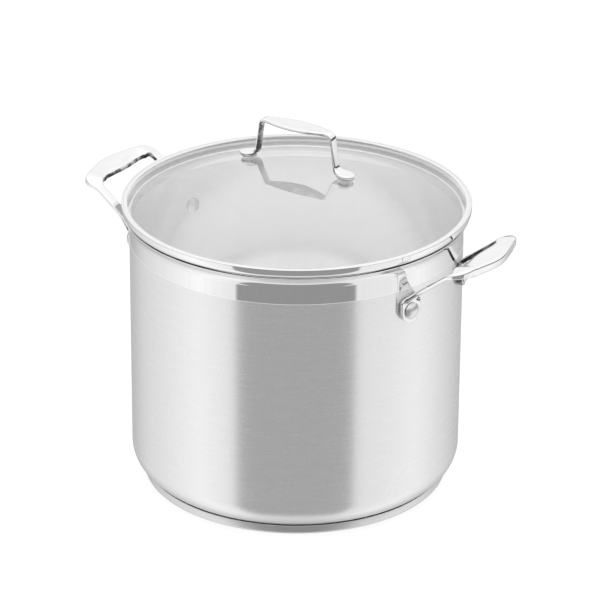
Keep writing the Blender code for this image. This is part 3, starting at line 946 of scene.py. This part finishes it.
rivets = turned("handle_rivets", rivet_outline(), RIVET_STEEL, 48)
rivet_values = {"Count": 4, "Height": RIVET_HEIGHT, "Angle": FOOT_ANGLE, "Finish": RIVET_STEEL}
run_tree(rivets, rivet_tree(), rivet_values)
face_out(rivets.data)
rivet_nodes = [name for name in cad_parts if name.endswith("_rivet")]
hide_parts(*rivet_nodes)
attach(rivets, "pot")
print("rivets replace", rivet_nodes)

# %% [markdown]
# ## The lid's rim
#
# A channel of bright steel is rolled round the edge of the glass, and the channel's lower lip drops
# inside the pot to centre the lid. Through the glass the channel's two inner edges read as thin white
# rings.

# %% Turn the rim
RIM_SHEET = 0.8 * MM
BEAD_RADIUS = 0.9 * MM
ROLL_RADIUS = 4.8 * MM
RIM_LIP = 4.4 * MM
SKIRT_CLEARANCE = 0.7 * MM
SKIRT_BEND = 1.0 * MM
RIM_HEIGHT = 8.3 * MM
BEAD_ABOVE_GLASS = 0.8 * MM
GLASS_BELOW_LIP = 0.1 * MM
rim_low, rim_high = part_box("lid_rim_band")
RIM_RADIUS, RIM_TOP = rim_high.x, rim_high.z
RIM_BOTTOM = RIM_TOP - RIM_HEIGHT
GLASS_EDGE = RIM_TOP - RIM_SHEET - BEAD_ABOVE_GLASS
SKIRT_RADIUS = INNER_RADIUS - SKIRT_CLEARANCE
SKIRT_END = rim_low.z


def rim():
    """A bead that stands over the glass edge, a wide roll under it, and the skirt inside the pot."""
    half = RIM_SHEET / 2
    top = RIM_TOP - BEAD_RADIUS
    lip = RIM_RADIUS - RIM_LIP
    ledge = GLASS_EDGE + GLASS_BELOW_LIP + RIM_SHEET
    bead_in = RIM_RADIUS - 2 * BEAD_RADIUS
    roll = (RIM_RADIUS - ROLL_RADIUS, RIM_BOTTOM + ROLL_RADIUS)
    outline = arc((lip, ledge - half), half, 270, 90, 6)[1:-1]
    outline += [(bead_in - half, ledge)]
    outline += arc((RIM_RADIUS - BEAD_RADIUS, top), BEAD_RADIUS, 180, 0, 16)
    outline += arc(roll, ROLL_RADIUS, 0, -90, 16)
    bend = (SKIRT_RADIUS + SKIRT_BEND, RIM_BOTTOM - SKIRT_BEND)
    outline += arc(bend, SKIRT_BEND, 90, 180, 8)
    outline += arc((SKIRT_RADIUS - half, SKIRT_END + half), half, 0, -180, 8)
    outline += arc(bend, SKIRT_BEND + RIM_SHEET, 180, 90, 8)
    outline += arc(roll, ROLL_RADIUS - RIM_SHEET, -90, 0, 8)
    outline += [(RIM_RADIUS - RIM_SHEET, ledge - RIM_SHEET)]
    return turned("lid_rim", outline, MIRROR, 256, ring=True)


lid_rim = rim()
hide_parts("lid_rim_band")
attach(lid_rim, "lid")
print("lid rim:", [round(v * 1000, 1) for v in lid_rim.dimensions])

# %% [markdown]
# ## The glass
#
# The glass is one shallow dome of even thickness: two arcs with one centre, and a plain edge that
# the rim hides.

# %% Bend the glass
GLASS_THICKNESS = 4 * MM
GLASS_STEPS = 40
glass_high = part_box("lid_glass")[1]
GLASS_RADIUS = glass_high.x
DOME_RISE = glass_high.z - GLASS_EDGE
DOME_RADIUS = (GLASS_RADIUS**2 + DOME_RISE**2) / (2 * DOME_RISE)
DOME_CENTRE = GLASS_EDGE + DOME_RISE - DOME_RADIUS


def glass_dome():
    spread = asin(GLASS_RADIUS / DOME_RADIUS)
    under = DOME_RADIUS - GLASS_THICKNESS
    angles = [spread * i / GLASS_STEPS for i in range(GLASS_STEPS + 1)]
    outline = [(DOME_RADIUS * sin(a), DOME_CENTRE + DOME_RADIUS * cos(a)) for a in angles]
    outline += [(under * sin(a), DOME_CENTRE + under * cos(a)) for a in angles[::-1]]
    return turned("glass_dome", outline, GLASS, 256)


glass = glass_dome()
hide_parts("lid_glass")
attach(glass, "lid")
print("glass:", [round(v * 1000, 1) for v in glass.dimensions])

# %% [markdown]
# ## The lid handle
#
# A bow of flat steel: two rounded pads on the glass, two legs that lean inwards, and a leaf-shaped
# grip. It is lofted like the side handles, from the tip of one pad to the middle of the grip.

# %% Bend the bow
PAD_REACH = 43.3 * MM
PAD_HALF_LENGTH = 7.8 * MM
PAD_HALF_WIDTH = 7 * MM
PAD_THICKNESS = 3.2 * MM
LEG_HALF_WIDTH = 3.8 * MM
LEG_TOP_HALF_WIDTH = 4.75 * MM
LEG_THICKNESS = 2.2 * MM
LEG_TOP_REACH = 32 * MM
LID_GRIP_HALF_WIDTH = 9.6 * MM
LID_GRIP_THICKNESS = 3.2 * MM
LID_BEND_TRIM = 5 * MM
PAD_SQUARENESS, KNEE_SQUARENESS, BOW_SQUARENESS = 5, 4.5, 4
SEAL_THICKNESS = 1.4 * MM
PAD_TILT = asin(PAD_REACH / DOME_RADIUS)
PAD_BOTTOM = SEAT_GAP + SEAL_THICKNESS + SEAT_GAP
bow_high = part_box("lid_handle")[1]


def dome_height(radius):
    return DOME_CENTRE + sqrt(DOME_RADIUS**2 - radius**2)


def bow_rings():
    """Sections from the round end of one pad, up the leg and to mid-grip."""
    origin = Vector((PAD_REACH, 0, dome_height(PAD_REACH)))
    normal = Vector((sin(PAD_TILT), 0, cos(PAD_TILT)))
    inward = Vector((-cos(PAD_TILT), 0, sin(PAD_TILT)))
    across = Vector((0, 1, 0))
    rings = []

    def add(point, heading, half_width, thickness, power):
        through = across.cross(heading).normalized()
        rings.append(section(point, across, through, half_width, thickness / 2, power))

    pad = origin + normal * (PAD_BOTTOM + PAD_THICKNESS / 2)
    for i in range(13):
        turn = radians(mix(TIP_ANGLE, 0, i / 12))
        point = pad + inward * (PAD_HALF_LENGTH * sin(turn))
        add(point, inward, PAD_HALF_WIDTH * cos(turn), PAD_THICKNESS, PAD_SQUARENESS)
    knee = pad + inward * PAD_HALF_LENGTH
    top = Vector((LEG_TOP_REACH, 0, bow_high.z - LID_GRIP_THICKNESS / 2))
    middle = Vector((0, 0, top.z))
    steps = 10
    for i, (point, heading) in enumerate(rounded_corner(pad, knee, top, LID_BEND_TRIM, steps)):
        t = i / steps
        half_width = mix(PAD_HALF_WIDTH, LEG_HALF_WIDTH, sin(t * pi / 2))
        thickness = mix(PAD_THICKNESS, LEG_THICKNESS, t)
        add(point, heading, half_width, thickness, KNEE_SQUARENESS)
    for i, (point, heading) in enumerate(rounded_corner(knee, top, middle, LID_BEND_TRIM, steps)):
        t = i / steps
        half_width = mix(LEG_HALF_WIDTH, LEG_TOP_HALF_WIDTH, t)
        thickness = mix(LEG_THICKNESS, LID_GRIP_THICKNESS, t)
        add(point, heading, half_width, thickness, BOW_SQUARENESS)
    grip_start = top + (middle - top).normalized() * LID_BEND_TRIM
    for i in range(1, 15):
        t = i / 14
        half_width = mix(LEG_TOP_HALF_WIDTH, LID_GRIP_HALF_WIDTH, sin(t * pi / 2))
        point = mix(grip_start, middle, t)
        add(point, Vector((-1, 0, 0)), half_width, LID_GRIP_THICKNESS, BOW_SQUARENESS)
    return rings


# The underside of the bow takes the dark steel: painted shade under the handle.
bow = lofted("lid_bow_handle", bow_rings(), "X", (MIRROR, PAINTED_SHADE), SHADED_UNDER_SIDE)
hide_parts("lid_handle")
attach(bow, "lid")
print("bow handle:", [round(v * 1000, 1) for v in bow.dimensions])

# %% [markdown]
# ## The lid's fixings
#
# Under each pad sits a silicone seal, and under the glass a gasket, a washer and a screw that pulls
# the bow down. Each kind is turned once on the Z axis, and one tree stands a pair of them on the
# dome, square to the glass.

# %% Make a pair
GASKET_THICKNESS = 1.0 * MM
WASHER_THICKNESS = 0.8 * MM
WASHER_RADIUS = 5.5 * MM
HEAD_SEAT_RADIUS = 4.6 * MM
SCREW_RADIUS = 2 * MM
SCREW_HEAD_RADIUS = 3.9 * MM
SCREW_HEAD_HEIGHT = 2.2 * MM
SCREW_REACH_IN_PAD = 2.2 * MM
SLEEVE_WALL = 0.9 * MM
HOLE_CLEARANCE = 0.3 * MM


def pair_tree():
    kinds = {"Reach": "NodeSocketFloat", "Height": "NodeSocketFloat", "Tilt": "NodeSocketFloat"}
    kinds["Finish"] = "NodeSocketMaterial"
    tree, (one, reach, height, tilt, finish) = geometry_tree("stand a pair on the dome", kinds)
    row = tree.node("GeometryNodeMeshLine", {"mode": "OFFSET"}, {"Count": 2})
    side = tree.node("GeometryNodeInputIndex") * 2 - 1
    place = tree.node("ShaderNodeCombineXYZ", inputs={0: side * reach, 2: height})
    points = tree.node("GeometryNodeSetPosition", inputs={"Geometry": row, "Position": place})
    aim = tree.node("ShaderNodeCombineXYZ", inputs={1: side * tilt})
    inputs = {"Points": points, "Instance": one, "Rotation": aim}
    copies = tree.node("GeometryNodeInstanceOnPoints", inputs=inputs)
    return close_tree(tree, copies, finish)


PAIR = pair_tree()


def pair(name, outline, finish, nodes, ring=True):
    made = turned(name, outline, finish, 48, ring)
    values = {"Reach": PAD_REACH, "Height": dome_height(PAD_REACH), "Tilt": PAD_TILT}
    run_tree(made, PAIR, {**values, "Finish": finish})
    face_out(made.data)
    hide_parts(*nodes)
    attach(made, "lid")
    return made


def both(node):
    return [f"right_{node}", f"left_{node}"]


print("pair tree:", len(PAIR.nodes), "nodes")

# %% [markdown]
# ## The stack under a pad
#
# From the top: the seal with its sleeve down the hole, the glass, the gasket, the washer and the
# head of the screw. Every height is counted from the outside of the glass.

# %% Turn the fixings
SEAL_EDGE_SHARE = 1 / 4
GASKET_EDGE_SHARE = 1 / 3
CROWN_RIM_SHARE = 0.3


def soft_ring(inner, outer, low, high, edge):
    """The outline of a ring with rounded outer edges."""
    outline = [(inner, low), (inner, high)]
    outline += arc((outer - edge, high - edge), edge, 90, 0, 5)
    outline += arc((outer - edge, low + edge), edge, 0, -90, 5)
    return outline


def fixings():
    bore = SCREW_RADIUS + HOLE_CLEARANCE
    sleeve = bore + SLEEVE_WALL
    below = -GLASS_THICKNESS - SEAT_GAP
    seal_top = SEAT_GAP + SEAL_THICKNESS
    edge = SEAL_THICKNESS * SEAL_EDGE_SHARE
    seal = [(bore, -GLASS_THICKNESS), (bore, seal_top)]
    seal += arc((WASHER_RADIUS - edge, seal_top - edge), edge, 90, 0, 5)
    seal += [(WASHER_RADIUS, SEAT_GAP), (sleeve, SEAT_GAP), (sleeve, -GLASS_THICKNESS)]
    gasket_low = below - GASKET_THICKNESS
    soft = GASKET_THICKNESS * GASKET_EDGE_SHARE
    gasket = soft_ring(bore, HEAD_SEAT_RADIUS, gasket_low, below, soft)
    washer_high = gasket_low - SEAT_GAP
    washer_low = washer_high - WASHER_THICKNESS
    soft = WASHER_THICKNESS * SEAL_EDGE_SHARE
    washer = soft_ring(bore, HEAD_SEAT_RADIUS, washer_low, washer_high, soft)
    head = washer_low - SEAT_GAP
    tip = PAD_BOTTOM + SCREW_REACH_IN_PAD
    screw = [(0, tip), (SCREW_RADIUS, tip), (SCREW_RADIUS, head), (SCREW_HEAD_RADIUS, head)]
    crown = dome(SCREW_HEAD_RADIUS, 0, SCREW_HEAD_HEIGHT, SCREW_HEAD_HEIGHT * CROWN_RIM_SHARE, 10)
    screw += [(radius, head - height) for radius, height in crown[::-1]]
    return [
        pair("pad_seals", seal, SILICONE, both("pad_seal")),
        pair("lid_gaskets", gasket, SILICONE, both("lid_gasket")),
        pair("lid_washers", washer, MIRROR, both("lid_washer")),
        pair("lid_screws", screw, MIRROR, both("lid_screw"), ring=False),
    ]


print("fixings:", [made.name for made in fixings()])

# %% [markdown]
